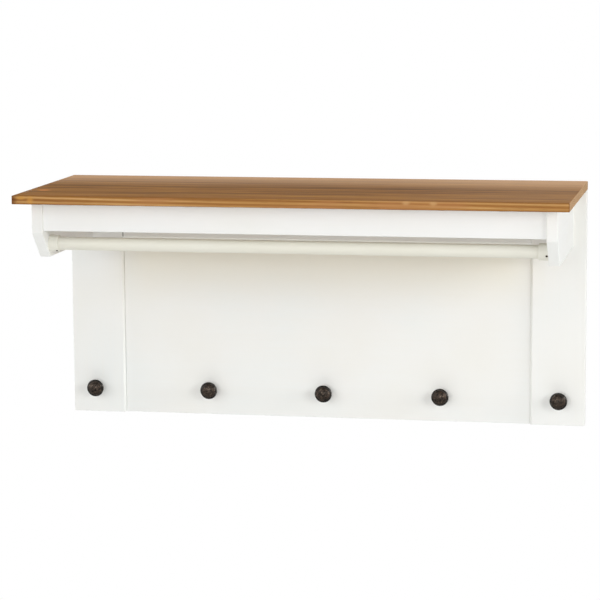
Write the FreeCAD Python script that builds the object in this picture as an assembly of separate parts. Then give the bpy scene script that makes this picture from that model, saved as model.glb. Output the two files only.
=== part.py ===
import FreeCAD, Part
import math
import os

# A wall shelf with a frame-and-panel back, a hanging rod and a row of peg knobs.
# Millimetres. X runs along the shelf, Y into the wall, Z up.
# The back lies on the wall plane Y = 0, and the origin is midway between the two
# wall screw holes, on that plane.

os.makedirs("parts", exist_ok=True)

Vector = FreeCAD.Vector
ORIGIN = Vector(0, 0, 0)
ALONG = Vector(1, 0, 0)
INTO_WALL = Vector(0, 1, 0)
OUT_OF_WALL = Vector(0, -1, 0)
UP = Vector(0, 0, 1)
FULL_TURN = 360.0
SIDES = (("left", -1), ("right", 1))

# Overall sizes
shelf_length = 915.0
shelf_depth = 360.0
shelf_thickness = 15.0
overall_height = 424.0
frame_thickness = 18.0
cut_overrun = 2.0

# Softened corners
shelf_edge_radius = 1.5
frame_edge_radius = 1.0

# Back frame
stile_width = 95.0
top_rail_height = 95.0
opening_bevel = 3.5
panel_thickness = 12.0
panel_shoulder_gap = 0.2
groove_width = 6.0
groove_depth = 8.0
tongue_end_gap = 1.0

# Side brackets
shelf_front_overhang = 39.0
bracket_height = 96.0
bracket_inset = 22.0
bevel_run = 43.0
bevel_rise = 44.0

# Apron under the front of the shelf
apron_height = 48.5
apron_setback = 8.0

# Hanging rod and its collars
rod_diameter = 22.0
rod_behind_front = 45.0
rod_below_shelf = 73.25
rod_housing_depth = 9.0
rod_end_gap = 0.3
rod_end_bevel = 1.0
rod_clearance = 0.15
collar_length = 16.5
collar_base_wall = 3.2
collar_nose_wall = 2.6
collar_base_edge = 3.0
collar_nose_round = 1.2

# Screws that pin the collars: reach is from the bracket's face, tilt is below level
collar_screw_head_radius = 2.0
collar_screw_head_height = 1.5
collar_screw_shank_radius = 1.1
collar_screw_length = 9.0
collar_screw_seat = 0.8
collar_screw_reach = {"left": 12.9, "right": 2.6}
collar_screw_tilt = {"left": 60.0, "right": 24.0}

# Peg knobs
knob_count = 5
knob_end_inset = 44.0
knob_above_bottom = 45.5
knob_diameter = 30.0
knob_base_diameter = 18.0
knob_base_edge = 1.6
knob_neck_diameter = 10.5
knob_neck_low = 6.0
knob_neck_high = 9.0
knob_head_underside = 15.6
knob_rim_height = 18.0
knob_rim_width = 2.2
knob_face_edge = 20.4
knob_projection = 24.6
knob_bore_depth = 14.0

# Machine screws behind the knobs
knob_screw_shank_radius = 1.95
knob_screw_head_radius = 4.0
knob_screw_head_height = 2.6
knob_screw_length = 22.0
counterbore_depth = 3.4
counterbore_clearance = 0.5

# Countersunk wood screws
wood_screw_shank_radius = 1.9
wood_screw_head_radius = 3.9
wood_screw_head_height = 2.4
wood_screw_tip = 4.0
screw_clearance = 0.1
screw_tip_gap = 0.5
bracket_screw_bite = 32.0
drive_length = 3.6
drive_width = 0.9
drive_depth = 1.2

# Cleats that hold the shelf from below
cleat_size = 18.0
cleat_end_gap = 0.5

# Dowels between the apron and the brackets
dowel_radius = 4.0
dowel_in_bracket = 12.0
dowel_in_apron = 18.0
dowel_clearance = 0.1
dowel_end_gap = 0.5

# Wall screw holes through the top rail, level with the gap between apron and rod
wall_hole_below_shelf = 57.0
wall_hole_spacing = 406.4
wall_hole_radius = 2.75
wall_sink_radius = 5.5
wall_sink_depth = 2.75

# Shares of the piece that carries each row
bracket_screw_height_shares = (0.22, 0.78)
apron_dowel_height_shares = (0.25, 0.75)
long_cleat_fixing_shares = (0.1, 0.37, 0.63, 0.9)
long_cleat_shelf_shares = (0.05, 0.3, 0.7, 0.95)
side_cleat_fixing_shares = (0.15, 0.5, 0.85)
side_cleat_shelf_shares = (0.32, 0.68)
fixing_bite_share = 0.66

# Places worked out from the sizes above
half_length = shelf_length / 2
rod_radius = rod_diameter / 2
shelf_underside = wall_hole_below_shelf
shelf_top_height = shelf_underside + shelf_thickness
frame_bottom = shelf_top_height - overall_height
rail_bottom = shelf_underside - top_rail_height
bracket_reach = shelf_depth - shelf_front_overhang
stile_inner = half_length - stile_width
bracket_outer = half_length - bracket_inset
bracket_inner = bracket_outer - frame_thickness
bracket_bottom = shelf_underside - bracket_height
bracket_middle = (bracket_inner + bracket_outer) / 2
apron_front = -bracket_reach + apron_setback
apron_back = apron_front + frame_thickness
apron_bottom = shelf_underside - apron_height
groove_front = -(panel_thickness + groove_width) / 2
groove_back = groove_front + groove_width
tongue_length = groove_depth - tongue_end_gap
rod_y = -bracket_reach + rod_behind_front
rod_z = shelf_underside - rod_below_shelf
rod_bore_radius = rod_radius + rod_clearance
knob_z = frame_bottom + knob_above_bottom
knob_spacing = (shelf_length - 2 * knob_end_inset) / (knob_count - 1)
cleat_bottom = shelf_underside - cleat_size


def board(x_range, y_range, z_range):
    """A square-edged board between three pairs of places."""
    corner = Vector(x_range[0], y_range[0], z_range[0])
    far = Vector(x_range[1], y_range[1], z_range[1])
    size = far.sub(corner)
    return Part.makeBox(size.x, size.y, size.z, corner)


def prism(corners, thrust):
    """A flat outline pushed along a vector."""
    return Part.Face(Part.makePolygon(corners + corners[:1])).extrude(thrust)


def mirrored_range(side, near, far):
    """The places near and far from the middle, in rising order, on one side."""
    return tuple(sorted((side * near, side * far)))


def eased(shape, radius, flat_planes):
    """Round the edges that don't lie in one of the planes (axis letter, place)."""
    picked = []
    for edge in shape.Edges:
        box = edge.BoundBox
        spans = {"x": (box.XMin, box.XMax), "y": (box.YMin, box.YMax), "z": (box.ZMin, box.ZMax)}
        near = radius / 4
        lies_flat = [max(abs(end - place) for end in spans[axis]) < near for axis, place in flat_planes]
        if not any(lies_flat):
            picked.append(edge)
    return shape.makeFillet(radius, picked)


def turned(edges, start, direction):
    """Turn a closed outline in the X-Z plane about Z, then aim its axis from a point."""
    solid = Part.Face(Part.Wire(edges)).revolve(ORIGIN, UP, FULL_TURN)
    placement = FreeCAD.Placement(start, FreeCAD.Rotation(UP, direction))
    return Part.Solid(solid.transformed(placement.toMatrix()))


def outline(points):
    """Straight edges through (radius, height) points and back to the first."""
    corners = [Vector(radius, 0, height) for radius, height in points]
    pairs = zip(corners, corners[1:] + corners[:1])
    return [Part.LineSegment(a, b).toShape() for a, b in pairs]


def bend(first, middle, last):
    """An arc through three (radius, height) points."""
    points = [Vector(radius, 0, height) for radius, height in (first, middle, last)]
    return Part.Arc(*points).toShape()


def dome(rim_radius, rim_height, crown_height):
    """A round cap's outline from its rim to its crown on the axis."""
    rise = crown_height - rim_height
    ball = (rim_radius ** 2 + rise ** 2) / (2 * rise)
    half = rim_radius / 2
    middle_height = crown_height - ball + math.copysign(math.sqrt(ball ** 2 - half ** 2), ball)
    return bend((rim_radius, rim_height), (half, middle_height), (0, crown_height))


def straight(first, last):
    """A line between two (radius, height) points."""
    return Part.LineSegment(Vector(first[0], 0, first[1]), Vector(last[0], 0, last[1])).toShape()


def cross_drive(head_top):
    """The cross-shaped recess of a screw head whose top is at a height on the Z axis."""
    half = drive_length / 2
    side = drive_width / 2
    heights = (head_top, head_top + drive_depth)
    bar = board((-half, half), (-side, side), heights)
    return bar.fuse(board((-side, side), (-half, half), heights))


def aimed(shape, start, direction):
    placement = FreeCAD.Placement(start, FreeCAD.Rotation(UP, direction))
    return shape.transformed(placement.toMatrix())


def wood_screw(start, direction, length):
    """A countersunk screw whose flat head starts at a point."""
    points = (
        (0, 0),
        (wood_screw_head_radius, 0),
        (wood_screw_shank_radius, wood_screw_head_height),
        (wood_screw_shank_radius, length - wood_screw_tip),
        (0, length),
    )
    body = turned(outline(points), ORIGIN, UP)
    return aimed(body.cut(cross_drive(0)), start, direction)


def wood_screw_hole(start, direction, length):
    """The countersink, shank hole and pilot that a wood screw needs."""
    shank = wood_screw_shank_radius + screw_clearance
    head = wood_screw_head_radius + screw_clearance
    depth = length + screw_tip_gap
    points = (
        (0, -cut_overrun),
        (head, -cut_overrun),
        (head, screw_clearance),
        (shank, wood_screw_head_height + screw_clearance),
        (shank, depth - wood_screw_tip),
        (0, depth),
    )
    return turned(outline(points), start, direction)


def drilled(shape, tools):
    """Cut every tool that reaches the piece."""
    for tool in tools:
        if shape.BoundBox.intersect(tool.BoundBox):
            shape = shape.cut(tool)
    return shape


def spread(low, high, shares):
    return [low + (high - low) * share for share in shares]


def save(shape, name):
    solids = shape.Solids
    kept = solids[0] if len(solids) == 1 else Part.makeCompound(solids)
    kept.exportStep("parts/" + name + ".step")


def save_group(shapes, name):
    Part.makeCompound([shape.Solids[0] for shape in shapes]).exportStep("parts/" + name + ".step")


# Shelf top
def make_shelf():
    top = board((-half_length, half_length), (-shelf_depth, 0), (shelf_underside, shelf_top_height))
    return eased(top, shelf_edge_radius, [("y", 0)])


# Side brackets, each a board with its lower front corner bevelled off
def make_bracket(side):
    corners = (
        (-frame_thickness, shelf_underside),
        (-bracket_reach, shelf_underside),
        (-bracket_reach, bracket_bottom + bevel_rise),
        (-bracket_reach + bevel_run, bracket_bottom),
        (-frame_thickness, bracket_bottom),
    )
    x_low, x_high = mirrored_range(side, bracket_inner, bracket_outer)
    blank = prism([Vector(x_low, y, z) for y, z in corners], ALONG * (x_high - x_low))
    return eased(blank, frame_edge_radius, [("z", shelf_underside), ("y", -frame_thickness)])


def make_apron():
    blank = board((-bracket_inner, bracket_inner), (apron_front, apron_back), (apron_bottom, shelf_underside))
    flats = [("z", shelf_underside), ("x", -bracket_inner), ("x", bracket_inner)]
    return eased(blank, frame_edge_radius, flats)


# Back frame: two grooved stiles, a tenoned top rail and a tongued panel
def flared_opening():
    """The space that bevels the stiles and the top rail round the panel, mitred at the corners."""
    flare = opening_bevel + cut_overrun
    deep = -frame_thickness + opening_bevel
    proud = deep - flare
    low = frame_bottom - cut_overrun
    wide = stile_inner + flare
    plan = ((-stile_inner, deep), (stile_inner, deep), (wide, proud), (-wide, proud))
    profile = ((deep, low), (deep, rail_bottom), (proud, rail_bottom + flare), (proud, low))
    upright = prism([Vector(x, y, low) for x, y in plan], UP * (rail_bottom + flare - low))
    level = prism([Vector(-wide, y, z) for y, z in profile], ALONG * (2 * wide))
    return upright.common(level)


def make_stile(side):
    blank = board(
        mirrored_range(side, stile_inner, half_length),
        (-frame_thickness, 0),
        (frame_bottom, shelf_underside),
    )
    blank = eased(blank, frame_edge_radius, [("y", 0), ("z", shelf_underside)])
    groove = board(
        mirrored_range(side, stile_inner - cut_overrun, stile_inner + groove_depth),
        (groove_front, groove_back),
        (frame_bottom - cut_overrun, shelf_underside + cut_overrun),
    )
    return blank.cut(groove).cut(flared_opening())


def make_top_rail():
    blank = board((-stile_inner, stile_inner), (-frame_thickness, 0), (rail_bottom, shelf_underside))
    flats = [("z", shelf_underside), ("y", 0), ("x", -stile_inner), ("x", stile_inner)]
    blank = eased(blank, frame_edge_radius, flats)
    tenon_reach = stile_inner + tongue_length
    tenons = board((-tenon_reach, tenon_reach), (groove_front, groove_back), (rail_bottom, shelf_underside))
    groove_reach = tenon_reach + cut_overrun
    groove = board(
        (-groove_reach, groove_reach),
        (groove_front, groove_back),
        (rail_bottom - cut_overrun, rail_bottom + groove_depth),
    )
    rail = blank.fuse(tenons).removeSplitter().cut(groove).cut(flared_opening())
    for side in (-1, 1):
        rail = rail.cut(wall_hole(side * wall_hole_spacing / 2))
    return rail


def wall_hole(x):
    """A clearance hole along Y with its countersink on the room side."""
    front = -frame_thickness
    points = (
        (0, -cut_overrun),
        (wall_sink_radius, -cut_overrun),
        (wall_sink_radius, 0),
        (wall_hole_radius, wall_sink_depth),
        (wall_hole_radius, frame_thickness + cut_overrun),
        (0, frame_thickness + cut_overrun),
    )
    return turned(outline(points), Vector(x, front, 0), INTO_WALL)


def make_panel():
    field_reach = stile_inner - panel_shoulder_gap
    field_top = rail_bottom - panel_shoulder_gap
    field = board((-field_reach, field_reach), (-panel_thickness, 0), (frame_bottom, field_top))
    field = eased(field, frame_edge_radius, [("y", 0), ("z", field_top)])
    tongue_reach = stile_inner + tongue_length
    tongue = board(
        (-tongue_reach, tongue_reach),
        (groove_front, groove_back),
        (frame_bottom, rail_bottom + tongue_length),
    )
    return field.fuse(tongue).removeSplitter()


# Cleats under the shelf: two long ones, and two short ones between them
def make_long_cleat(y_range):
    return board((-bracket_inner, bracket_inner), y_range, (cleat_bottom, shelf_underside))


front_cleat_range = (apron_back, apron_back + cleat_size)
rear_cleat_range = (-frame_thickness - cleat_size, -frame_thickness)
side_cleat_range = (front_cleat_range[1] + cleat_end_gap, rear_cleat_range[0] - cleat_end_gap)


def make_side_cleat(side):
    x_range = mirrored_range(side, bracket_inner - cleat_size, bracket_inner)
    return board(x_range, side_cleat_range, (cleat_bottom, shelf_underside))


# Hanging rod with bevelled ends, housed in the brackets
def make_rod():
    reach = bracket_inner + rod_housing_depth - rod_end_gap
    points = (
        (0, 0),
        (rod_radius - rod_end_bevel, 0),
        (rod_radius, rod_end_bevel),
        (rod_radius, 2 * reach - rod_end_bevel),
        (rod_radius - rod_end_bevel, 2 * reach),
        (0, 2 * reach),
    )
    return turned(outline(points), Vector(-reach, rod_y, rod_z), ALONG)


def rod_housing(side):
    start = Vector(side * (bracket_inner - cut_overrun), rod_y, rod_z)
    depth = rod_housing_depth + cut_overrun
    return Part.makeCylinder(rod_bore_radius, depth, start, ALONG * side)


# Turned collars round the rod's ends, widest against the bracket
collar_base_radius = rod_bore_radius + collar_base_wall
collar_nose_radius = rod_bore_radius + collar_nose_wall


def make_collar(side):
    nose_start = collar_length - collar_nose_round
    inner_nose = collar_nose_radius - collar_nose_round
    slant = math.sqrt(0.5)
    nose_bend = (inner_nose + collar_nose_round * slant, nose_start + collar_nose_round * slant)
    edges = [
        straight((rod_bore_radius, 0), (collar_base_radius, 0)),
        straight((collar_base_radius, 0), (collar_base_radius, collar_base_edge)),
        straight((collar_base_radius, collar_base_edge), (collar_nose_radius, nose_start)),
        bend((collar_nose_radius, nose_start), nose_bend, (inner_nose, collar_length)),
        straight((inner_nose, collar_length), (rod_bore_radius, collar_length)),
        straight((rod_bore_radius, collar_length), (rod_bore_radius, 0)),
    ]
    return turned(edges, Vector(side * bracket_inner, rod_y, rod_z), ALONG * -side)


def collar_radius_at(reach):
    """The collar's outer radius at a distance from the bracket."""
    taper_end = collar_length - collar_nose_round
    share = (reach - collar_base_edge) / (taper_end - collar_base_edge)
    share = min(max(share, 0), 1)
    return collar_base_radius + (collar_nose_radius - collar_base_radius) * share


def collar_screw_place(name, side):
    """The seat point and inward direction of a collar's pinning screw."""
    reach = collar_screw_reach[name]
    tilt = math.radians(collar_screw_tilt[name])
    outward = Vector(0, -math.cos(tilt), -math.sin(tilt))
    seat_radius = collar_radius_at(reach) - collar_screw_seat
    axis_point = Vector(side * (bracket_inner - reach), rod_y, rod_z)
    return axis_point.add(outward * seat_radius), outward * -1


def collar_screw(name, side):
    """A round-headed screw whose head stands on the seat."""
    seat, inward = collar_screw_place(name, side)
    edges = [
        dome(collar_screw_head_radius, 0, -collar_screw_head_height),
        straight((collar_screw_head_radius, 0), (collar_screw_shank_radius, 0)),
        straight((collar_screw_shank_radius, 0), (collar_screw_shank_radius, collar_screw_length)),
        straight((collar_screw_shank_radius, collar_screw_length), (0, collar_screw_length)),
        straight((0, collar_screw_length), (0, -collar_screw_head_height)),
    ]
    return turned(edges, seat, inward)


def collar_screw_hole(name, side):
    """The flat seat for the head and the hole for the shank."""
    seat, inward = collar_screw_place(name, side)
    head = collar_screw_head_radius + screw_clearance
    shank = collar_screw_shank_radius + screw_clearance
    depth = collar_screw_length + screw_tip_gap
    points = (
        (0, -cut_overrun),
        (head, -cut_overrun),
        (head, 0),
        (shank, 0),
        (shank, depth),
        (0, depth),
    )
    return turned(outline(points), seat, inward)


# Peg knobs, turned about an axis that points out of the wall
def make_knob(x, board_face):
    base = knob_base_diameter / 2
    neck = knob_neck_diameter / 2
    rim = knob_diameter / 2
    under = rim - knob_rim_width
    bore = knob_screw_shank_radius + screw_clearance
    cove_radius = (base + neck) / 2
    cove = (neck + (cove_radius - neck) / 2, (knob_base_edge + knob_neck_low) / 2)
    flare = (neck + (under - neck) / 4, (knob_neck_high + knob_head_underside) / 2)
    edges = [
        straight((bore, 0), (base, 0)),
        straight((base, 0), (base, knob_base_edge)),
        bend((base, knob_base_edge), cove, (neck, knob_neck_low)),
        straight((neck, knob_neck_low), (neck, knob_neck_high)),
        bend((neck, knob_neck_high), flare, (under, knob_head_underside)),
        bend((under, knob_head_underside), (rim, knob_rim_height), (under, knob_face_edge)),
        dome(under, knob_face_edge, knob_projection),
        straight((0, knob_projection), (0, knob_bore_depth)),
        straight((0, knob_bore_depth), (bore, knob_bore_depth)),
        straight((bore, knob_bore_depth), (bore, 0)),
    ]
    return turned(edges, Vector(x, board_face, knob_z), OUT_OF_WALL)


def knob_screw(x):
    """A machine screw whose head sits in a counterbore in the back."""
    start = Vector(x, -counterbore_depth + knob_screw_head_height, knob_z)
    head_face = knob_screw_head_height
    points = (
        (0, 0),
        (knob_screw_head_radius, 0),
        (knob_screw_head_radius, head_face),
        (knob_screw_shank_radius, head_face),
        (knob_screw_shank_radius, head_face + knob_screw_length),
        (0, head_face + knob_screw_length),
    )
    body = turned(outline(points), ORIGIN, UP)
    return aimed(body.cut(cross_drive(0)), start, OUT_OF_WALL)


def knob_screw_hole(x):
    start = Vector(x, 0, knob_z)
    counterbore = knob_screw_head_radius + counterbore_clearance
    shank = knob_screw_shank_radius + screw_clearance
    through = frame_thickness + cut_overrun
    points = (
        (0, -cut_overrun),
        (counterbore, -cut_overrun),
        (counterbore, counterbore_depth),
        (shank, counterbore_depth),
        (shank, through),
        (0, through),
    )
    return turned(outline(points), start, OUT_OF_WALL)


# Fixings: each place is (head point, direction, length)
def bracket_screw_places():
    heights = spread(bracket_bottom, shelf_underside, bracket_screw_height_shares)
    length = frame_thickness + bracket_screw_bite
    places = []
    for _, side in SIDES:
        for height in heights:
            places.append((Vector(side * bracket_middle, 0, height), OUT_OF_WALL, length))
    return places


def cleat_screw_places():
    """Level screws from each cleat into the board that it lies against."""
    height = (cleat_bottom + shelf_underside) / 2
    length = cleat_size + frame_thickness * fixing_bite_share
    places = []
    for x in spread(-bracket_inner, bracket_inner, long_cleat_fixing_shares):
        places.append((Vector(x, front_cleat_range[1], height), OUT_OF_WALL, length))
        places.append((Vector(x, rear_cleat_range[0], height), INTO_WALL, length))
    for _, side in SIDES:
        for y in spread(side_cleat_range[0], side_cleat_range[1], side_cleat_fixing_shares):
            places.append((Vector(side * (bracket_inner - cleat_size), y, height), ALONG * side, length))
    return places


def shelf_screw_places():
    """Upright screws from each cleat into the shelf."""
    length = cleat_size + shelf_thickness * fixing_bite_share
    places = []
    for x in spread(-bracket_inner, bracket_inner, long_cleat_shelf_shares):
        for low, high in (front_cleat_range, rear_cleat_range):
            places.append((Vector(x, (low + high) / 2, cleat_bottom), UP, length))
    for _, side in SIDES:
        for y in spread(side_cleat_range[0], side_cleat_range[1], side_cleat_shelf_shares):
            x = side * (bracket_inner - cleat_size / 2)
            places.append((Vector(x, y, cleat_bottom), UP, length))
    return places


def dowel(side, height, radius, end_gap):
    """A dowel, or its bore, that runs from the apron into a bracket."""
    start = Vector(side * (bracket_inner - dowel_in_apron - end_gap), (apron_front + apron_back) / 2, height)
    length = dowel_in_apron + dowel_in_bracket + 2 * end_gap
    return Part.makeCylinder(radius, length, start, ALONG * side)


def build():
    wood_screws = {
        "bracket_screws": bracket_screw_places(),
        "cleat_screws": cleat_screw_places(),
        "shelf_screws": shelf_screw_places(),
    }
    dowel_heights = spread(apron_bottom, shelf_underside, apron_dowel_height_shares)
    dowel_places = [(side, height) for _, side in SIDES for height in dowel_heights]
    knob_places = [-half_length + knob_end_inset + index * knob_spacing for index in range(knob_count)]

    tools = [wood_screw_hole(*place) for places in wood_screws.values() for place in places]
    bore_radius = dowel_radius + dowel_clearance
    tools += [dowel(side, height, bore_radius, dowel_end_gap) for side, height in dowel_places]
    tools += [rod_housing(side) for _, side in SIDES]
    tools += [knob_screw_hole(x) for x in knob_places]
    pin_tools = [collar_screw_hole(name, side) for name, side in SIDES]

    boards = {
        "shelf_top": make_shelf(),
        "apron": make_apron(),
        "top_rail": make_top_rail(),
        "back_panel": make_panel(),
        "front_cleat": make_long_cleat(front_cleat_range),
        "rear_cleat": make_long_cleat(rear_cleat_range),
    }
    for name, side in SIDES:
        boards[name + "_bracket"] = make_bracket(side)
        boards[name + "_stile"] = make_stile(side)
        boards[name + "_cleat"] = make_side_cleat(side)
        save(drilled(make_collar(side), pin_tools), name + "_rod_collar")
    for name, shape in boards.items():
        save(drilled(shape, tools), name)

    save(drilled(make_rod(), pin_tools), "hanging_rod")
    save_group([collar_screw(name, side) for name, side in SIDES], "collar_screws")
    for name, places in wood_screws.items():
        save_group([wood_screw(*place) for place in places], name)
    save_group([dowel(side, height, dowel_radius, 0) for side, height in dowel_places], "apron_dowels")

    for index, x in enumerate(knob_places):
        on_stile = abs(x) > stile_inner
        board_face = -frame_thickness if on_stile else -panel_thickness
        save(make_knob(x, board_face), "knob_" + str(index + 1))
    save_group([knob_screw(x) for x in knob_places], "knob_screws")


build()
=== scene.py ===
import math

import bmesh
import bpy
from mathutils import Matrix, Vector


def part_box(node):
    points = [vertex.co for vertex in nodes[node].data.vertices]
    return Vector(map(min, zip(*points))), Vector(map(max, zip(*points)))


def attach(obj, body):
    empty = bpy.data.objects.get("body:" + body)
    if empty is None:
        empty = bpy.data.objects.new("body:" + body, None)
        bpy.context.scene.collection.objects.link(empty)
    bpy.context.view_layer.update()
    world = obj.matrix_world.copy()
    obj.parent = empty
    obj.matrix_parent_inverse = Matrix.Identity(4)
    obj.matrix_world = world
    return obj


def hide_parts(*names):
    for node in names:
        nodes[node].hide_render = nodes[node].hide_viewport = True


# A painted wall shelf with a stained top, a hanging rod and a row of peg knobs.
# Metres. X runs along the shelf, Y into the wall, Z up.

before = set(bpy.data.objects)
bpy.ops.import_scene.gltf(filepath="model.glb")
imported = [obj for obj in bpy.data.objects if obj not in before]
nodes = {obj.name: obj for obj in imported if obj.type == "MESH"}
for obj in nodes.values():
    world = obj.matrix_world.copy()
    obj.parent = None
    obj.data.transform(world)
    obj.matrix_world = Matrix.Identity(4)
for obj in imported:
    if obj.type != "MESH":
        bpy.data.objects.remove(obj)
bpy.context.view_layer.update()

# Groups of pieces that share a finish
upright_boards = ("left_stile", "right_stile")
level_boards = ("top_rail", "back_panel")
turned_pieces = ("hanging_rod", "left_rod_collar", "right_rod_collar")
deep_boards = ("left_bracket", "right_bracket")
hidden_cleats = ("front_cleat", "rear_cleat", "left_cleat", "right_cleat")
zinc_screws = ("bracket_screws", "cleat_screws", "shelf_screws", "knob_screws")
knob_names = ("knob_1", "knob_2", "knob_3", "knob_4", "knob_5")

# Camera: fitted to the photograph
camera_place = Vector((0.7769, -4.1744, 0.4804))
camera_yaw = math.radians(11.157)
camera_down = math.radians(8.359)
camera_roll = math.radians(-0.387)
camera_lens = 146.21
camera_sensor = 36.0

# Shelf board
board_low, board_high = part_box("shelf_top")
arris_radius = 0.0014
arris_steps = 3
grid_step = 0.006
dent_depth = 0.0007
dent_size = 0.016

# Hanging rod
rod_sides = 64
rod_end_bevel = 0.001
rod_end_steps = 2
rod_ring_step = 0.05

# Peg knob, measured out from the board
knob_low, knob_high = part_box("knob_1")
knob_sides = 40
base_radius = 0.009
base_edge = 0.0016
base_round = 0.0005
neck_radius = 0.00525
neck_low = 0.006
neck_high = 0.009
rim_radius = (knob_high.x - knob_low.x) / 2
rim_height = 0.018
rim_under_radius = rim_radius - 0.0022
rim_under_height = 0.0156
rim_top_radius = rim_radius - 0.00195
rim_top_height = 0.0203
groove_radius = rim_radius - 0.00245
groove_height = 0.02
face_radius = rim_radius - 0.00295
face_height = 0.0205
knob_height = knob_high.y - knob_low.y
crown_swell = 0.76
cove_steps = 4
bend_steps = 5
cast_depth = 0.00006
cast_size = 0.003


# Modelling by hand
def add_primitive(operator, **settings):
    """Deselect everything, add a primitive and return it with its place in its mesh."""
    bpy.ops.object.select_all(action="DESELECT")
    operator(**settings)
    bpy.ops.object.transform_apply(location=True, rotation=True, scale=True)
    return bpy.context.object


def pick(piece, kind, test):
    """In edit mode, select only the vertices, edges or faces that pass a test."""
    bpy.ops.mesh.select_mode(type=kind)
    bpy.ops.mesh.select_all(action="DESELECT")
    mesh = bmesh.from_edit_mesh(piece.data)
    for item in {"VERT": mesh.verts, "EDGE": mesh.edges, "FACE": mesh.faces}[kind]:
        item.select_set(test(item))
    mesh.select_flush_mode()
    bmesh.update_edit_mesh(piece.data)


def pick_object(piece):
    """In object mode, select one piece alone."""
    bpy.ops.object.select_all(action="DESELECT")
    piece.select_set(True)
    bpy.context.view_layer.objects.active = piece


def runs_along(edge, axis):
    """True for an edge that lies along one axis."""
    span = edge.verts[1].co - edge.verts[0].co
    return abs(span[axis]) > 0.999 * span.length


def apply_modifier(piece, kind, **settings):
    """Add a modifier, set it and apply it."""
    modifier = piece.modifiers.new(kind.title(), kind)
    for name, value in settings.items():
        setattr(modifier, name, value)
    pick_object(piece)
    bpy.ops.object.modifier_apply(modifier=modifier.name)


def smooth_surface(piece, angle):
    pick_object(piece)
    bpy.ops.object.shade_smooth_by_angle(angle=math.radians(angle))


def clouds(name, size, depth):
    texture = bpy.data.textures.new(name, "CLOUDS")
    texture.noise_scale = size
    texture.noise_depth = depth
    return texture


def place_for(piece, name, slot, *replaced):
    """Name a finished piece, let it ride on the body and stand for its CAD node."""
    piece.name = name
    piece.data.name = name
    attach(piece, "root")
    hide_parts(*replaced)


# Shelf board with hand-eased, slightly dented arrises
def make_shelf_board():
    board = add_primitive(
        bpy.ops.mesh.primitive_cube_add,
        size=1,
        location=(board_low + board_high) / 2,
        scale=board_high - board_low,
    )
    near = arris_radius / 4
    bpy.ops.object.mode_set(mode="EDIT")
    pick(board, "EDGE", lambda edge: any(vertex.co.y < board_high.y - near for vertex in edge.verts))
    bpy.ops.mesh.bevel(offset=arris_radius, segments=arris_steps, affect="EDGES")
    for axis in (0, 1):
        pick(board, "EDGE", lambda edge: runs_along(edge, axis) and edge.calc_length() > 10 * arris_radius)
        cuts = int((board_high[axis] - board_low[axis]) / grid_step)
        bpy.ops.mesh.subdivide(number_cuts=cuts)

    def on_arris(vertex):
        """True near the meeting of two faces, but not on the flat rear edge."""
        place = vertex.co
        gaps = [min(place[axis] - board_low[axis], board_high[axis] - place[axis]) for axis in range(3)]
        return sorted(gaps)[1] < arris_radius * 1.01 and board_high.y - place.y > near

    pick(board, "VERT", on_arris)
    bpy.ops.object.vertex_group_add()
    bpy.ops.object.vertex_group_assign()
    bpy.ops.object.mode_set(mode="OBJECT")
    group = board.vertex_groups[0].name
    apply_modifier(
        board,
        "DISPLACE",
        texture=clouds("arris_dents", dent_size, 2),
        texture_coords="LOCAL",
        vertex_group=group,
        mid_level=1.0,
        strength=dent_depth,
    )
    smooth_surface(board, 35)
    place_for(board, "shelf_board", "shelf_wood", "shelf_top")
    return board


# Hanging rod
def make_rod():
    low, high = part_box("hanging_rod")
    rod = add_primitive(
        bpy.ops.mesh.primitive_cylinder_add,
        vertices=rod_sides,
        radius=(high.z - low.z) / 2,
        depth=high.x - low.x,
        location=(low + high) / 2,
        rotation=(0, math.pi / 2, 0),
    )
    bpy.ops.object.mode_set(mode="EDIT")
    pick(rod, "EDGE", lambda edge: not runs_along(edge, 0))
    bpy.ops.mesh.bevel(offset=rod_end_bevel, segments=rod_end_steps, affect="EDGES")
    pick(rod, "EDGE", lambda edge: runs_along(edge, 0) and edge.calc_length() > rod_ring_step)
    bpy.ops.mesh.subdivide(number_cuts=int((high.x - low.x) / rod_ring_step))
    bpy.ops.object.mode_set(mode="OBJECT")
    smooth_surface(rod, 35)
    place_for(rod, "painted_rod", "white_paint", "hanging_rod")
    return rod


# Peg knobs
def bowed(first, middle, last, steps):
    """Points (radius, height) after the first on a smooth bend through three points."""
    pull = [2 * m - (f + l) / 2 for f, m, l in zip(first, middle, last)]
    points = []
    for step in range(1, steps + 1):
        t = step / steps
        points.append(
            tuple((1 - t) ** 2 * f + 2 * t * (1 - t) * p + t * t * l for f, p, l in zip(first, pull, last))
        )
    return points


def knob_outline():
    """Rings (radius, height) of the knob from its base to the middle of its crown."""
    base_shoulder = (base_radius - base_round, base_edge)
    cove = (neck_radius + (base_shoulder[0] - neck_radius) / 4, (base_edge + neck_low) / 2.2)
    neck_foot = (neck_radius, neck_low)
    neck_head = (neck_radius, neck_high)
    flare = (neck_radius + (rim_under_radius - neck_radius) / 4, (neck_high + rim_under_height) / 2)
    rim_under = (rim_under_radius, rim_under_height)
    rim_top = (rim_top_radius, rim_top_height)
    face_edge = (face_radius, face_height)
    crown_middle = (face_radius / 2, face_height + (knob_height - face_height) * crown_swell)
    rings = [(base_radius, base_edge - base_round), base_shoulder]
    rings += bowed(base_shoulder, cove, neck_foot, cove_steps)
    rings += [neck_head]
    rings += bowed(neck_head, flare, rim_under, bend_steps)
    rings += bowed(rim_under, (rim_radius + base_round, rim_height), rim_top, bend_steps)
    rings += [(groove_radius, groove_height), face_edge]
    rings += bowed(face_edge, crown_middle, (0, knob_height), bend_steps)
    return rings


def knob_foot(name):
    """The middle of a knob's base, on its board."""
    low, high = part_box(name)
    return Vector(((low.x + high.x) / 2, high.y, (low.z + high.z) / 2))


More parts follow.
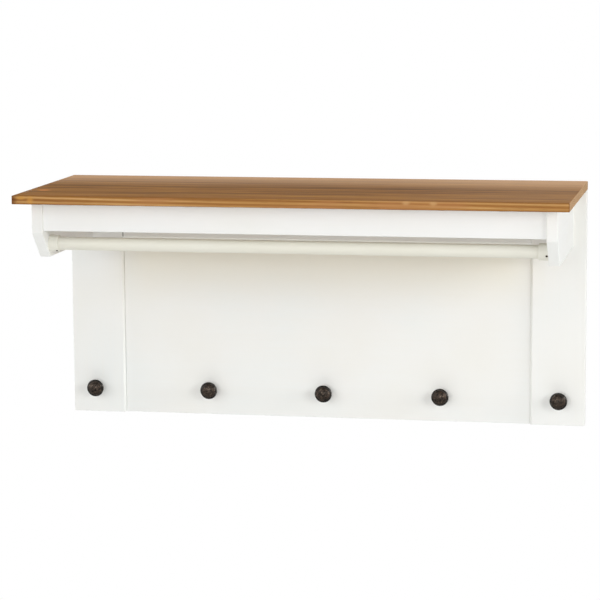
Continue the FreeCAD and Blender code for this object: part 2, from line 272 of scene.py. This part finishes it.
def make_first_knob(name):
    """Raise a ring of edges step by step from the board, then close the crown."""
    foot = knob_foot(name)
    knob = add_primitive(
        bpy.ops.mesh.primitive_circle_add,
        vertices=knob_sides,
        radius=base_radius,
        fill_type="NGON",
        location=foot,
        rotation=(math.pi / 2, 0, 0),
    )
    bpy.ops.object.mode_set(mode="EDIT")
    bpy.ops.mesh.select_mode(type="FACE")
    bpy.ops.mesh.select_all(action="SELECT")
    height_now, radius_now = 0.0, base_radius
    for radius, height in knob_outline():
        last = radius < base_round
        share = base_round / radius_now if last else radius / radius_now
        bpy.ops.mesh.extrude_region_move(TRANSFORM_OT_translate={"value": (0, height_now - height, 0)})
        centre = foot + Vector((0, -height, 0))
        bpy.ops.transform.resize(value=(share, 1, share), center_override=centre)
        height_now, radius_now = height, radius
    bpy.ops.mesh.poke()
    bpy.ops.mesh.select_all(action="SELECT")
    bpy.ops.mesh.normals_make_consistent(inside=False)
    bpy.ops.object.mode_set(mode="OBJECT")
    apply_modifier(knob, "SUBSURF", levels=2, render_levels=2)
    apply_modifier(
        knob,
        "DISPLACE",
        texture=clouds("cast_skin", cast_size, 1),
        texture_coords="LOCAL",
        mid_level=1.0,
        strength=cast_depth,
    )
    smooth_surface(knob, 60)
    return knob, foot


def make_knobs():
    first, first_foot = make_first_knob(knob_names[0])
    knobs = [first]
    for name in knob_names[1:]:
        knob = first.copy()
        knob.data = first.data.copy()
        bpy.context.scene.collection.objects.link(knob)
        pick_object(knob)
        knob.location = knob_foot(name) - first_foot
        bpy.ops.object.transform_apply(location=True, rotation=False, scale=False)
        knobs.append(knob)
    for knob, name in zip(knobs, knob_names):
        place_for(knob, "mushroom_" + name, "dark_bronze", name)
    return knobs


# Finishes
def new_finish(name):
    """An empty material with its principled shader."""
    finish = bpy.data.materials.new(name)
    finish.use_nodes = True
    return finish, finish.node_tree.nodes["Principled BSDF"]


def plug(finish, socket, value):
    if isinstance(value, bpy.types.NodeSocket):
        finish.node_tree.links.new(value, socket)
    else:
        socket.default_value = value


def add_node(finish, kind, options=None, sockets=None):
    """Add a shader node, set its options and set or link its sockets."""
    node = finish.node_tree.nodes.new(kind)
    for name, value in (options or {}).items():
        setattr(node, name, value)
    for name, value in (sockets or {}).items():
        plug(finish, node.inputs[name], value)
    return node


def object_place(finish):
    return add_node(finish, "ShaderNodeTexCoord").outputs["Object"]


def stretched(finish, place, scale, offset=(0, 0, 0)):
    sockets = {"Vector": place, "Scale": scale, "Location": offset}
    return add_node(finish, "ShaderNodeMapping", sockets=sockets).outputs["Vector"]


def split(finish, place):
    """The three coordinates of a place."""
    node = add_node(finish, "ShaderNodeSeparateXYZ", sockets={"Vector": place})
    return node.outputs["X"], node.outputs["Y"], node.outputs["Z"]


def joined(finish, x=0.0, y=0.0, z=0.0):
    """A place from three coordinates."""
    return add_node(finish, "ShaderNodeCombineXYZ", sockets={"X": x, "Y": y, "Z": z}).outputs["Vector"]


def noise(finish, place, scale, detail=2.0, roughness=0.5, distortion=0.0):
    sockets = {
        "Vector": place,
        "Scale": scale,
        "Detail": detail,
        "Roughness": roughness,
        "Distortion": distortion,
    }
    return add_node(finish, "ShaderNodeTexNoise", sockets=sockets).outputs["Fac"]


def waves(finish, place, options, scale, distortion, detail, detail_scale, roughness=0.5):
    """Bands or rings, bent by noise."""
    sockets = {
        "Vector": place,
        "Scale": scale,
        "Distortion": distortion,
        "Detail": detail,
        "Detail Scale": detail_scale,
        "Detail Roughness": roughness,
    }
    return add_node(finish, "ShaderNodeTexWave", options, sockets).outputs["Fac"]


def spread(finish, value, low, high, to_low=0.0, to_high=1.0):
    """Map a range of a value onto another, clamped and smooth at its ends."""
    sockets = {
        "Value": value,
        "From Min": low,
        "From Max": high,
        "To Min": to_low,
        "To Max": to_high,
    }
    node = add_node(finish, "ShaderNodeMapRange", {"interpolation_type": "SMOOTHSTEP"}, sockets)
    return node.outputs["Result"]


def maths(finish, operation, first, second=0.0):
    node = add_node(finish, "ShaderNodeMath", {"operation": operation})
    plug(finish, node.inputs[0], first)
    plug(finish, node.inputs[1], second)
    return node.outputs["Value"]


def vector_maths(finish, operation, first, second=(0, 0, 0)):
    node = add_node(finish, "ShaderNodeVectorMath", {"operation": operation})
    plug(finish, node.inputs[0], first)
    plug(finish, node.inputs[1], second)
    return node.outputs["Value" if operation == "LENGTH" else "Vector"]


def weighted(finish, *parts):
    """The sum of (value, share) parts."""
    total = None
    for value, share in parts:
        part = maths(finish, "MULTIPLY", value, share)
        total = part if total is None else maths(finish, "ADD", total, part)
    return total


def blended(finish, share, first, second, kind="MIX"):
    """Two colours mixed by a share."""
    node = add_node(finish, "ShaderNodeMix", {"data_type": "RGBA", "blend_type": kind})
    plug(finish, node.inputs["Factor"], share)
    plug(finish, node.inputs[6], first)
    plug(finish, node.inputs[7], second)
    return node.outputs[2]


def shaded(finish, colour, value):
    """A colour darkened by a value from 0 to 1."""
    grey = add_node(finish, "ShaderNodeCombineColor", sockets={"Red": value, "Green": value, "Blue": value})
    return blended(finish, 1.0, colour, grey.outputs["Color"], "MULTIPLY")


def colour_ramp(finish, value, stops):
    """A ramp through (position, colour) stops."""
    node = add_node(finish, "ShaderNodeValToRGB", sockets={"Fac": value})
    ramp = node.color_ramp
    while len(ramp.elements) < len(stops):
        ramp.elements.new(0.5)
    for element, (position, colour) in zip(ramp.elements, stops):
        element.position = position
        element.color = colour
    return node.outputs["Color"]


def spot(finish, place, centre, size):
    """One at a point, falling to nothing over a size along each axis."""
    scale = tuple(1 / length for length in size)
    offset = tuple(-middle / length for middle, length in zip(centre, size))
    reach = vector_maths(finish, "LENGTH", stretched(finish, place, scale, offset))
    return spread(finish, reach, 0.2, 1.0, 1.0, 0.0)


def raised(finish, height, strength, distance):
    sockets = {"Height": height, "Strength": strength, "Distance": distance}
    return add_node(finish, "ShaderNodeBump", sockets=sockets).outputs["Normal"]


def tone(hex_colour):
    """A display colour such as F0EEE6 as the shader's linear colour."""
    parts = [int(hex_colour[i:i + 2], 16) / 255 for i in (0, 2, 4)]
    linear = [part / 12.92 if part <= 0.04045 else ((part + 0.055) / 1.055) ** 2.4 for part in parts]
    return (*linear, 1.0)


# Honey stain on a glued-up pine board: planks lie side by side in Y, with their grain along X
# Dark stain, also the colour of the painted shade on the edges
stain_and_shade_dark = tone("5E3C20")
stain_brown = tone("895D2B")
stain_honey = tone("A87434")
stain_gold = tone("BE8941")
sheen_pale = tone("DEB58E")
stain_light_line = tone("D3A670")
stain_ochre = tone("99662A")
stain_knot = tone("DC8A4C")
edge_brown = tone("99683A")
edge_honey = tone("AE7C45")
edge_gold = tone("BE8E55")
edge_reddish = tone("B87F52")
edge_amber = tone("D39B4E")
edge_corner_shade = tone("6E4023")
end_brown = tone("997751")
end_tan = tone("B99671")
end_pale = tone("CBAA85")
plank_width = 0.072
plank_shift = 0.37
# Painted sheen: where it starts and ends across the board, and along it towards the right end
sheen_front = -0.18
sheen_back = 0.05
sheen_right = (0.1, 0.45)
ochre_front = (-0.325, -0.285)
top_knot = (-0.43, -0.267, 0.072)
top_knot_size = (0.016, 0.013, 0.02)
# Marks on the front edge: centre, size, share and colour
edge_marks = (
    ((0.197, board_low.y, 0.0685), (0.009, 0.02, 0.005), 0.7, stain_light_line),
    ((0.241, board_low.y, 0.068), (0.009, 0.02, 0.005), 0.7, stain_light_line),
    # The dark mark at the left front corner is painted shade on the rounded corner
    ((board_low.x, board_low.y, 0.0645), (0.013, 0.02, 0.02), 0.75, edge_corner_shade),
    ((-0.441, board_low.y, 0.068), (0.012, 0.02, 0.004), 0.8, edge_amber),
    ((-0.4255, board_low.y, 0.0645), (0.008, 0.02, 0.012), 0.6, edge_amber),
)
line_tilt = math.radians(-0.5)


def plank_grain(finish, place):
    """The place shifted plank by plank, so that no figure crosses a glue line, and a tone per plank."""
    plank = maths(finish, "FLOOR", maths(finish, "DIVIDE", split(finish, place)[1], plank_width))
    plank_tone = add_node(
        finish, "ShaderNodeTexWhiteNoise", {"noise_dimensions": "1D"}, {"W": plank}
    ).outputs["Value"]
    shift = joined(finish, x=maths(finish, "MULTIPLY", plank, plank_shift), z=plank_tone)
    return vector_maths(finish, "ADD", place, shift), plank_tone


def grain_noise(finish, place, along, across, detail=2.0, roughness=0.55, distortion=0.0):
    """Noise drawn out along the grain; along and across are the lengths of its features."""
    drawn = stretched(finish, place, (1 / along, 1 / across, 1 / across))
    return noise(finish, drawn, 1.0, detail, roughness, distortion)


def satin_wood(finish, shader, colour, fibres, pores):
    """The parts of a stained finish that every face of the board shares."""
    colour = blended(finish, maths(finish, "MULTIPLY", pores, 0.45), colour, stain_and_shade_dark)
    plug(finish, shader.inputs["Base Color"], colour)
    plug(finish, shader.inputs["Roughness"], spread(finish, fibres, 0.3, 0.7, 0.66, 0.78))
    shader.inputs["Specular IOR Level"].default_value = 0.03
    bumps = maths(finish, "SUBTRACT", fibres, maths(finish, "MULTIPLY", pores, 0.7))
    plug(finish, shader.inputs["Normal"], raised(finish, bumps, 0.35, 0.0002))


def make_honey_stain():
    """The board's top and underside, with a painted sheen that makes them paler towards the wall and on the
    right.
    """
    finish, shader = new_finish("honey_stain")
    place = object_place(finish)
    grain, plank_tone = plank_grain(finish, place)
    broad = grain_noise(finish, grain, 0.5, 0.024, 3.0, 0.55, 0.3)
    streaks = grain_noise(finish, grain, 0.34, 0.0043, 4.0, 0.6)
    fibres = grain_noise(finish, grain, 0.037, 0.0008, 3.0, 0.6)
    pores = spread(finish, grain_noise(finish, grain, 0.045, 0.0007, 1.0), 0.66, 0.72)
    bands = {"wave_type": "BANDS", "bands_direction": "Y", "wave_profile": "SIN"}
    rings = waves(finish, stretched(finish, grain, (0.13, 1, 1)), bands, 22.0, 7.0, 2.5, 1.6, 0.55)
    figure = weighted(finish, (broad, 0.51), (streaks, 0.34), (rings, 0.13), (plank_tone, 0.05))
    colour = colour_ramp(
        finish,
        figure,
        [(0.36, stain_and_shade_dark), (0.48, stain_brown), (0.58, stain_honey), (0.72, stain_gold)],
    )
    x, y, _ = split(finish, place)
    across = maths(finish, "ADD", y, maths(finish, "MULTIPLY", broad, 0.05))
    # Painted sheen: the stain turns paler towards the wall and on the right
    painted_sheen = spread(finish, across, sheen_front, sheen_back, 0.0, 0.78)
    painted_sheen = maths(finish, "ADD", painted_sheen, spread(finish, x, *sheen_right, 0.0, 0.15))
    colour = blended(finish, painted_sheen, colour, sheen_pale)
    colour = blended(finish, spread(finish, across, *ochre_front, 0.6, 0.0), colour, stain_ochre)
    colour = blended(finish, spot(finish, place, top_knot, top_knot_size), colour, stain_knot)
    colour = shaded(finish, colour, spread(finish, fibres, 0.3, 0.62, 0.8, 1.0))
    satin_wood(finish, shader, colour, fibres, pores)
    return finish


def make_edge_stain():
    """The board's long edges, where the growth rings run out as near-level lines."""
    finish, shader = new_finish("honey_stain_edge")
    place = object_place(finish)
    tilted = add_node(
        finish, "ShaderNodeMapping", sockets={"Vector": place, "Rotation": (0, line_tilt, 0)}
    ).outputs["Vector"]
    bands = {"wave_type": "BANDS", "bands_direction": "Z", "wave_profile": "SIN"}
    lines = waves(finish, stretched(finish, tilted, (0.025, 0.025, 1)), bands, 46.0, 2.6, 2.0, 1.3)
    streaks = grain_noise(finish, tilted, 0.5, 0.0028, 3.0, 0.6)
    broad = noise(finish, stretched(finish, place, (5, 5, 40)), 1.0, 2.0)
    fibres = grain_noise(finish, tilted, 0.06, 0.0007, 3.0, 0.6)
    pores = spread(finish, grain_noise(finish, tilted, 0.045, 0.0006, 1.0), 0.68, 0.74)
    colour = colour_ramp(
        finish,
        weighted(finish, (lines, 0.3), (streaks, 0.45), (broad, 0.25)),
        [(0.3, edge_brown), (0.46, edge_honey), (0.6, edge_gold), (0.74, stain_light_line)],
    )
    patches = noise(finish, stretched(finish, place, (6, 6, 30)), 1.0, 1.0)
    colour = blended(finish, spread(finish, patches, 0.52, 0.64, 0.0, 0.5), colour, edge_reddish)
    x, _, z = split(finish, place)
    ends = maths(finish, "ABSOLUTE", x)
    # Painted shade: along the bottom arris, on the top arris where it dims the highlight, and at both ends
    for arris_shade in (
        spread(finish, z, board_low.z, board_low.z + 0.002, 0.7, 0.0),
        spread(finish, z, board_high.z - 0.0016, board_high.z - 0.0004, 0.0, 0.35),
        spread(finish, ends, board_high.x - 0.003, board_high.x - 0.001, 0.0, 0.5),
    ):
        colour = blended(finish, arris_shade, colour, stain_and_shade_dark)
    for centre, size, share, mark_colour in edge_marks:
        mark = maths(finish, "MULTIPLY", spot(finish, place, centre, size), share)
        colour = blended(finish, mark, colour, mark_colour)
    colour = shaded(finish, colour, spread(finish, fibres, 0.3, 0.62, 0.88, 1.0))
    satin_wood(finish, shader, colour, fibres, pores)
    return finish


def make_end_stain():
    """The board's ends, with arcs of growth rings in each plank."""
    finish, shader = new_finish("honey_stain_end")
    place = object_place(finish)
    x, y, z = split(finish, place)
    grain = joined(finish, x, maths(finish, "PINGPONG", y, plank_width), z)
    rings = {"wave_type": "RINGS", "rings_direction": "X", "wave_profile": "SAW"}
    arcs = waves(finish, grain, rings, 95.0, 1.5, 2.0, 2.0)
    flecks = noise(finish, place, 900.0, 2.0, 0.6)
    broad = noise(finish, place, 40.0, 2.0)
    colour = colour_ramp(
        finish,
        weighted(finish, (arcs, 0.4), (flecks, 0.35), (broad, 0.25)),
        [(0.25, end_brown), (0.5, end_tan), (0.75, end_pale)],
    )
    pores = spread(finish, noise(finish, place, 1500.0, 1.0), 0.66, 0.72)
    satin_wood(finish, shader, colour, flecks, pores)
    return finish


# White paint, brushed along a board, with a painted warm shade in the shelter of the shelf, and thinner on
# the back
paint_white = tone("F1F2EF")
paint_cream = tone("F0F0EB")
paint_cool = tone("EFF2F0")
shade_yellow = tone("EFECDD")
# A darker tone for the rod: painted shade
rod_shade_tone = tone("E1DFD2")
# A lighter, cooler copy of the paint for the apron: painted light
lit_cream = tone("F2F4F1")
lit_white = tone("F4F6F5")
lit_cool = tone("F3F6F6")
everyday_paint = (paint_cream, paint_white, paint_cool)
apron_lit_paint = (lit_cream, lit_white, lit_cool)
bare_pine = tone("CDAF80")
bracket_inner = 0.0002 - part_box("left_bracket")[1].x
# Where the painted warm shade under the shelf lies
shade_fade = (bracket_inner - 0.11, bracket_inner - 0.01)
apron_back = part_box("apron")[1].y
shade_low = -0.17
shade_high = -0.045
rail_edge = (-0.044, -0.03)
rail_shade = 0.2
back_skin = -0.0004
# In front, the joint of the left stile and the top rail has opened a hair
joint_dark = tone("3A362D")
joint_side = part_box("left_stile")[1].x
joint_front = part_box("left_stile")[0].y
joint_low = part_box("top_rail")[0].z
joint_width = (0.0004, 0.0011)
joint_depth = 0.0005
joint_share = 0.9


def painted_shelf_shade(finish, x, y, z):
    """Painted warm shade: one on what the brackets and the apron shelter, fading out downwards and over the
    rail's front.
    """
    inside = spread(finish, maths(finish, "ABSOLUTE", x), *shade_fade, 1.0, 0.0)
    inside = maths(finish, "MULTIPLY", inside, spread(finish, y, apron_back - 0.001, apron_back))
    shade_share = maths(finish, "MULTIPLY", inside, spread(finish, z, shade_low, shade_high))
    return maths(finish, "MULTIPLY", shade_share, spread(finish, z, *rail_edge, 1.0, rail_shade))


def open_joint(finish, x, y, z):
    """The share of dark along the opened joint."""
    from_joint = maths(finish, "ABSOLUTE", maths(finish, "SUBTRACT", x, joint_side))
    from_front = maths(finish, "ABSOLUTE", maths(finish, "SUBTRACT", y, joint_front))
    joint = spread(finish, from_joint, *joint_width, joint_share, 0.0)
    joint = maths(finish, "MULTIPLY", joint, maths(finish, "LESS_THAN", from_front, joint_depth))
    return maths(finish, "MULTIPLY", joint, maths(finish, "GREATER_THAN", z, joint_low))


def make_white_paint(name, along, paints=everyday_paint, rod_shade=0.0):
    """White paint in three tints, brushed along one axis."""
    finish, shader = new_finish(name)
    warm, plain, cool = paints
    place = object_place(finish)
    brush_scale = tuple(6.0 if axis == along else 260.0 for axis in range(3))
    grain_scale = tuple(2.0 if axis == along else 70.0 for axis in range(3))
    cloud = noise(finish, place, 5.0, 3.0)
    brush = noise(finish, stretched(finish, place, brush_scale), 1.4, 3.0, 0.55, 0.1)
    grain = noise(finish, stretched(finish, place, grain_scale), 2.2, 4.0, 0.6, 0.4)
    skin = noise(finish, place, 900.0, 1.0)
    colour = colour_ramp(finish, cloud, [(0.3, warm), (0.5, plain), (0.72, cool)])
    colour = blended(finish, spread(finish, brush, 0.35, 0.75, 0.0, 0.35), colour, warm)
    # Painted shade: the rod's paint darkened all over
    if rod_shade > 0:
        rod_shade_share = spread(finish, cloud, 0.3, 0.7, rod_shade, 0.8 * rod_shade)
        colour = blended(finish, rod_shade_share, colour, rod_shade_tone)

    x, y, z = split(finish, place)
    # Painted warm shade under the shelf
    colour = blended(finish, painted_shelf_shade(finish, x, y, z), colour, shade_yellow)
    colour = blended(finish, open_joint(finish, x, y, z), colour, joint_dark)
    back = maths(finish, "GREATER_THAN", y, back_skin)
    thin = maths(finish, "MULTIPLY", spread(finish, grain, 0.42, 0.62), 0.3)
    colour = blended(finish, maths(finish, "MULTIPLY", back, thin), colour, bare_pine)
    plug(finish, shader.inputs["Base Color"], colour)
    plug(finish, shader.inputs["Roughness"], spread(finish, brush, 0.3, 0.7, 0.4, 0.52))
    shader.inputs["Specular IOR Level"].default_value = 0.35
    height = weighted(finish, (brush, 0.5), (grain, 0.6), (skin, 0.12))
    plug(finish, shader.inputs["Normal"], raised(finish, height, 0.25, 0.00018))
    return finish


# Oil-rubbed bronze, worn brown on the crowns and nearly black round the rims, where the black is patinated
# finish and also painted shade for the dark reflections there
bronze_brown = tone("3B352F")
bronze_red = tone("43362D")
bronze_black = tone("120F0D")
bronze_worn = tone("6E655A")
patina_shade_black = tone("0F0D0B")
patina_shade_brown = tone("26211C")
patina_shade_grey = tone("55524B")
turned_rings_per_metre = 480.0
ring_shift_per_metre = 31.0


def turning_marks(finish, place):
    """Noise drawn out in fine rings round each knob's own axis, and different on each knob."""
    first, second = [sum(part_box(name), Vector()) / 2 for name in knob_names[:2]]
    spacing = second.x - first.x
    x, _, z = split(finish, place)
    along = maths(finish, "SUBTRACT", x, first.x - spacing / 2)
    across = maths(finish, "SUBTRACT", maths(finish, "FLOORED_MODULO", along, spacing), spacing / 2)
    from_axis = joined(finish, x=across, z=maths(finish, "SUBTRACT", z, first.z))
    reach = vector_maths(finish, "LENGTH", from_axis)
    knob_place = maths(finish, "SUBTRACT", along, across)
    rings = weighted(finish, (reach, turned_rings_per_metre), (knob_place, ring_shift_per_metre))
    around = vector_maths(finish, "NORMALIZE", from_axis)
    return noise(finish, vector_maths(finish, "ADD", around, joined(finish, y=rings)), 1.0, 3.0, 0.6)


def make_bronze(name, stops, dull, lacquer):
    finish, shader = new_finish(name)
    place = object_place(finish)
    patches = noise(finish, place, 230.0, 4.0, 0.7)
    mottle = noise(finish, place, 620.0, 3.0, 0.7)
    rings = turning_marks(finish, place)
    colour = colour_ramp(finish, weighted(finish, (patches, 0.55), (rings, 0.45)), stops)
    colour = blended(finish, spread(finish, mottle, 0.46, 0.6, 0.0, 0.75), colour, stops[0][1])
    plug(finish, shader.inputs["Base Color"], colour)
    shader.inputs["Metallic"].default_value = 0.93
    plug(finish, shader.inputs["Roughness"], spread(finish, mottle, 0.3, 0.7, dull, dull + 0.16))
    shader.inputs["Coat Weight"].default_value = lacquer
    shader.inputs["Coat Roughness"].default_value = 0.12
    plug(finish, shader.inputs["Normal"], raised(finish, mottle, 0.25, 0.00012))
    return finish


def make_dark_bronze():
    stops = [(0.4, bronze_black), (0.48, bronze_brown), (0.54, bronze_red), (0.64, bronze_worn)]
    return make_bronze("dark_bronze", stops, dull=0.4, lacquer=0.05)


# The rim's black finish: patinated bronze and painted shade
def make_patina_and_shade():
    stops = [(0.4, patina_shade_black), (0.54, patina_shade_brown), (0.64, patina_shade_grey)]
    return make_bronze("black_patina_and_shade", stops, dull=0.3, lacquer=0.3)


# Zinc-plated screws
zinc_grey = tone("8C8C86")
zinc_pale = tone("B8B6AC")


def make_zinc_plate():
    finish, shader = new_finish("zinc_plate")
    place = object_place(finish)
    spangle = noise(finish, place, 500.0, 3.0)
    colour = colour_ramp(finish, spangle, [(0.3, zinc_grey), (0.7, zinc_pale)])
    plug(finish, shader.inputs["Base Color"], colour)
    shader.inputs["Metallic"].default_value = 1.0
    plug(finish, shader.inputs["Roughness"], spread(finish, spangle, 0.3, 0.7, 0.28, 0.44))
    plug(finish, shader.inputs["Normal"], raised(finish, spangle, 0.2, 0.0001))
    return finish


# Bare beech dowels
beech_brown = tone("B08A5C")
beech_pale = tone("D9B98A")


def make_bare_beech():
    finish, shader = new_finish("bare_beech")
    place = object_place(finish)
    grain = noise(finish, stretched(finish, place, (12, 500, 500)), 2.0, 4.0, 0.6)
    colour = colour_ramp(finish, grain, [(0.3, beech_brown), (0.7, beech_pale)])
    plug(finish, shader.inputs["Base Color"], colour)
    shader.inputs["Roughness"].default_value = 0.6
    plug(finish, shader.inputs["Normal"], raised(finish, grain, 0.3, 0.0002))
    return finish


def coat(piece, *finishes):
    """Give a piece its finishes, of which the first covers it until faces are given another."""
    piece.data.materials.clear()
    for finish in finishes:
        piece.data.materials.append(finish)


def finish_board(board):
    """Stain the board's faces by the way they look: flat, long edge or end."""
    coat(board, make_honey_stain(), make_edge_stain(), make_end_stain())
    coat(nodes["shelf_top"], board.data.materials[0])
    for face in board.data.polygons:
        if abs(face.normal.y) > 0.6:
            face.material_index = 1
        elif abs(face.normal.x) > 0.6:
            face.material_index = 2


def finish_knob(knob, bronze, rim_patina_and_shade):
    """Bronze on the crown; on the rim and all behind it, a black patinated finish that is also painted
    shade.
    """
    low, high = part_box(knob.name.removeprefix("mushroom_"))
    axis = (low + high) / 2
    coat(knob, bronze, rim_patina_and_shade)
    for face in knob.data.polygons:
        reach = math.hypot(face.center.x - axis.x, face.center.z - axis.z)
        if reach > face_radius or face.center.y > high.y - face_height:
            face.material_index = 1


def finish_everything(board, rod, knobs):
    paint_along_x = make_white_paint("white_paint_level", 0)
    paint_along_y = make_white_paint("white_paint_deep", 1)
    paint_along_z = make_white_paint("white_paint_upright", 2)
    paint_on_apron = make_white_paint("white_paint_apron", 0, apron_lit_paint)
    paint_on_rod = make_white_paint("white_paint_rod", 0, rod_shade=1.0)
    bronze = make_dark_bronze()
    for names, finish in (
        (("apron",), paint_on_apron),
        (level_boards, paint_along_x),
        (hidden_cleats, paint_along_x),
        (deep_boards, paint_along_y),
        (upright_boards, paint_along_z),
        (turned_pieces, paint_on_rod),
        (knob_names, bronze),
        (("collar_screws",), bronze),
        (zinc_screws, make_zinc_plate()),
        (("apron_dowels",), make_bare_beech()),
    ):
        for name in names:
            coat(nodes[name], finish)
    coat(rod, paint_on_rod)
    finish_board(board)
    rim_patina_and_shade = make_patina_and_shade()
    for knob in knobs:
        finish_knob(knob, bronze, rim_patina_and_shade)


# Studio
world_level = 0.21
lamp_distance = 3.2
lamp_target = Vector((0.0, -0.1, -0.1))
floor_height = -1.6
floor_half = 2.2
floor_centre = (0, -0.18, floor_height)
floor_white = tone("F4F3F1")
white = (1, 1, 1, 1)
# Name, azimuth from the front to the right, elevation, width, height and level
soft_boxes = (
    ("side_right", 80, 6, 1.0, 1.2, 0.29),
    ("high_right", 66, 16, 1.2, 1.2, 0.08),
    ("key_right", 48, 10, 0.9, 0.9, 0.2),
    ("front", 0, 3, 1.6, 1.2, 0.28),
    ("fill_left", -38, 15, 3.0, 1.6, 0.22),
    ("side_left", -88, 6, 1.4, 1.2, 0.3),
    ("overhead", 90, 82, 1.6, 1.2, 0.18),
    ("behind_high", 176, 42, 1.8, 1.4, 0.4),
    ("behind_left", -150, -4, 1.6, 1.2, 0.4),
)


def make_camera():
    data = bpy.data.cameras.new("camera")
    data.sensor_width = camera_sensor
    data.lens = camera_lens
    camera = bpy.data.objects.new("camera", data)
    bpy.context.scene.collection.objects.link(camera)
    turn = Matrix.Rotation(camera_yaw, 4, "Z")
    tip = Matrix.Rotation(math.pi / 2 - camera_down, 4, "X")
    roll = Matrix.Rotation(camera_roll, 4, "Z")
    camera.matrix_world = Matrix.Translation(camera_place) @ turn @ tip @ roll
    bpy.context.scene.camera = camera


def add_soft_box(name, azimuth, elevation, width, height, level):
    """An area lamp aimed at the object; level is the brightness it gives a white face turned to it."""
    side = math.radians(azimuth)
    rise = math.radians(elevation)
    away = Vector((math.sin(side) * math.cos(rise), -math.cos(side) * math.cos(rise), math.sin(rise)))
    data = bpy.data.lights.new(name, "AREA")
    data.shape = "RECTANGLE"
    data.size = width
    data.size_y = height
    data.energy = level * (math.pi * lamp_distance) ** 2
    lamp = bpy.data.objects.new(name, data)
    bpy.context.scene.collection.objects.link(lamp)
    lamp.location = lamp_target + away * lamp_distance
    lamp.rotation_mode = "QUATERNION"
    lamp.rotation_quaternion = (-away).to_track_quat("-Z", "Y")


def background_rays(tree):
    """One for the rays of the camera and of reflections, which show the white background."""
    path = tree.nodes.new("ShaderNodeLightPath")
    shown = path.outputs["Is Camera Ray"]
    for ray in ("Is Glossy Ray", "Is Transmission Ray"):
        both = tree.nodes.new("ShaderNodeMath")
        both.operation = "MAXIMUM"
        tree.links.new(shown, both.inputs[0])
        tree.links.new(path.outputs[ray], both.inputs[1])
        shown = both.outputs[0]
    return shown


def make_world():
    """White to the camera and in reflections, and a plain even light on the object."""
    world = bpy.data.worlds.new("studio")
    world.use_nodes = True
    bpy.context.scene.world = world
    tree = world.node_tree
    tree.nodes.clear()
    seen = tree.nodes.new("ShaderNodeBackground")
    seen.inputs["Strength"].default_value = 1.0
    seen.inputs["Color"].default_value = white
    light = tree.nodes.new("ShaderNodeBackground")
    light.inputs["Strength"].default_value = world_level
    light.inputs["Color"].default_value = white
    mix = tree.nodes.new("ShaderNodeMixShader")
    output = tree.nodes.new("ShaderNodeOutputWorld")
    tree.links.new(background_rays(tree), mix.inputs["Fac"])
    tree.links.new(light.outputs[0], mix.inputs[1])
    tree.links.new(seen.outputs[0], mix.inputs[2])
    tree.links.new(mix.outputs[0], output.inputs["Surface"])


def make_floor():
    """A pale floor far below the shelf, whose rim fades into the white background."""
    floor = add_primitive(bpy.ops.mesh.primitive_plane_add, size=2 * floor_half, location=floor_centre)
    floor.name = "studio_floor"
    finish, shader = new_finish("floor_white")
    place = object_place(finish)
    shader.inputs["Base Color"].default_value = floor_white
    shader.inputs["Roughness"].default_value = 0.9
    shader.inputs["Specular IOR Level"].default_value = 0.0
    grain = noise(finish, place, 60.0, 2.0)
    plug(finish, shader.inputs["Normal"], raised(finish, grain, 0.05, 0.001))
    glow = add_node(finish, "ShaderNodeEmission", sockets={"Color": white, "Strength": 1.0})
    rim = maths(finish, "SUBTRACT", 1.0, spot(finish, place, floor_centre, [floor_half] * 3))
    mix = add_node(finish, "ShaderNodeMixShader")
    plug(finish, mix.inputs["Fac"], maths(finish, "MULTIPLY", rim, background_rays(finish.node_tree)))
    plug(finish, mix.inputs[1], shader.outputs["BSDF"])
    plug(finish, mix.inputs[2], glow.outputs["Emission"])
    plug(finish, finish.node_tree.nodes["Material Output"].inputs["Surface"], mix.outputs["Shader"])
    coat(floor, finish)


def make_studio():
    make_camera()
    make_world()
    for soft_box in soft_boxes:
        add_soft_box(*soft_box)
    make_floor()
    bpy.context.scene.view_settings.view_transform = "Standard"


def main():
    board = make_shelf_board()
    rod = make_rod()
    knobs = make_knobs()
    finish_everything(board, rod, knobs)
    make_studio()


main()
